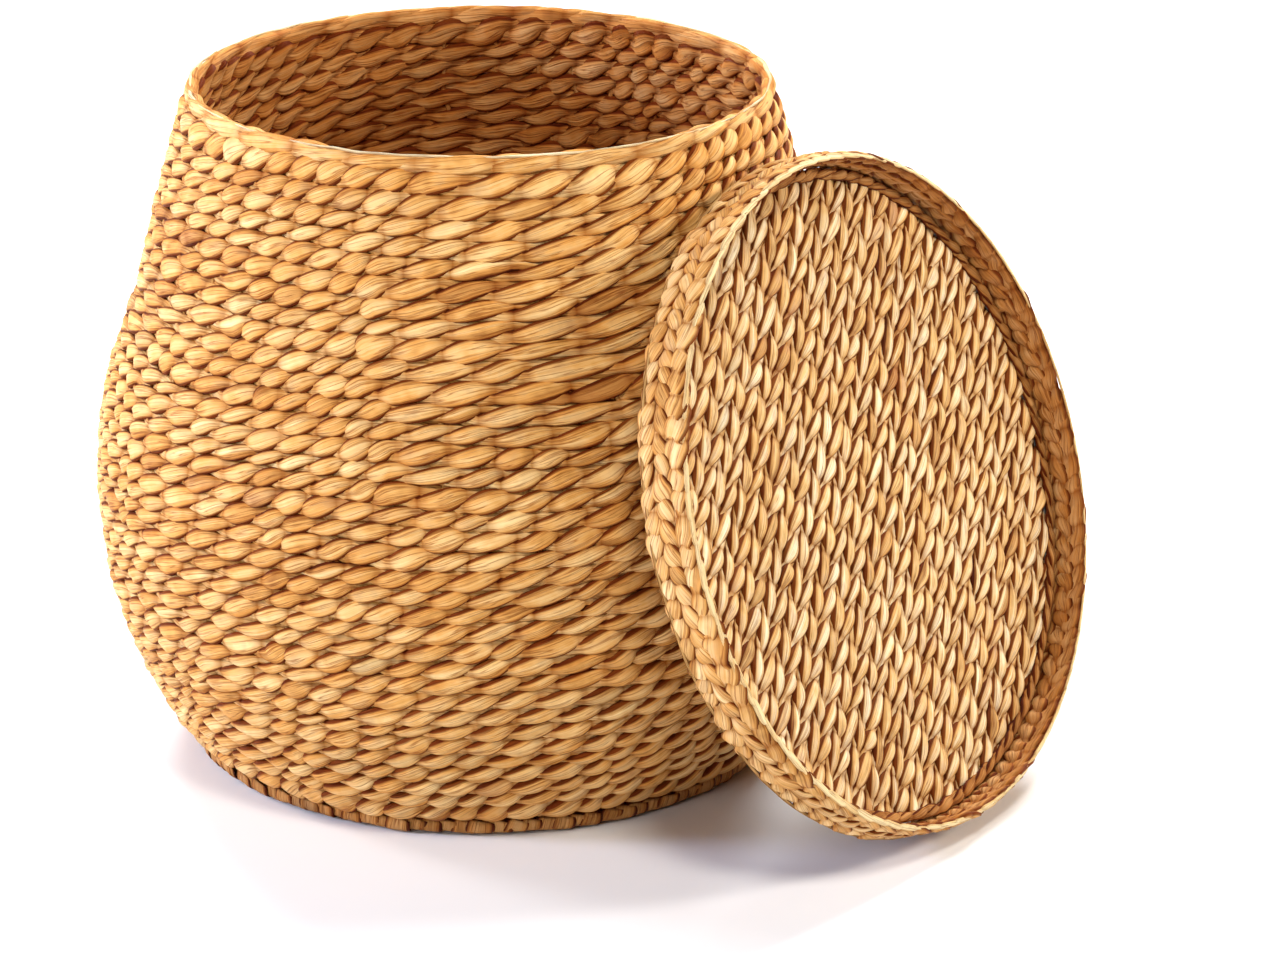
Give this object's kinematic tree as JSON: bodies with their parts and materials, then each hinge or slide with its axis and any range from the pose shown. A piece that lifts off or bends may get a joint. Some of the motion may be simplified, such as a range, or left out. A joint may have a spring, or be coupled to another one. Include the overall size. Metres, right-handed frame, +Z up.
{
  "type": "woven laundry basket",
  "caption": "Round, pot-bellied basket of twined water hyacinth with a wrapped rim and a loose, shallow woven lid leaning on its side.",
  "frame": {"origin": "middle of the basket's flat underside, on the floor", "axes": "+Z up along the basket's axis; the lid leans on the side towards +X and -Y"},
  "size_m": [0.6705, 0.601, 0.4555],
  "materials": {
    "straw": "dry twined water hyacinth strands, golden straw with brown and grey-green leaves",
    "lid_straw": "dry plaited water hyacinth strands, pale wheat",
    "dark_straw": "dry water hyacinth wraps, darker brown",
    "pale_straw": "flat pale leaf strip, wrapped and slightly glossy",
    "steel": "dark painted wire, semi-matt"
  },
  "bodies": {
    "basket": {"base_panel": "dark_straw", "base_binding": "dark_straw", "base_hoop": "steel", "wall_course_01": "straw", "wall_course_02": "straw", "wall_course_03": "straw", "wall_course_04": "straw", "wall_course_05": "straw", "wall_course_06": "straw", "wall_course_07": "straw", "wall_course_08": "straw", "wall_course_09": "straw", "wall_course_10": "straw", "wall_course_11": "straw", "wall_course_12": "straw", "wall_course_13": "straw", "wall_course_14": "straw", "wall_course_15": "straw", "wall_course_16": "straw", "wall_course_17": "straw", "wall_course_18": "straw", "wall_course_19": "straw", "wall_course_20": "straw", "wall_course_21": "straw", "wall_course_22": "straw", "wall_course_23": "straw", "wall_course_24": "straw", "wall_course_25": "straw", "wall_course_26": "straw", "wall_course_27": "straw", "wall_course_28": "straw", "wall_course_29": "straw", "wall_course_30": "straw", "wall_course_31": "straw", "wall_course_32": "straw", "wall_course_33": "straw", "wall_course_34": "straw", "wall_course_35": "straw", "upright_1": "steel", "upright_2": "steel", "upright_3": "steel", "upright_4": "steel", "upright_5": "steel", "upright_6": "steel", "upright_7": "steel", "rim_hoop": "steel", "rim_binding": "pale_straw"},
    "lid": {"lid_panel": "lid_straw", "lid_panel_hoop": "steel", "lid_rim_course_1": "lid_straw", "lid_rim_course_2": "lid_straw", "lid_edge_hoop": "steel", "lid_edge_binding": "pale_straw"}
  },
  "joints": [
    {"name": "lid_swing", "type": "hinge", "parent": "basket", "child": "lid", "pos_m": [0.19692, -0.11805, 0.4376], "axis": [-0.5183, -0.8541, -0.0437], "range_deg": [0, 250.3]}
  ]
}
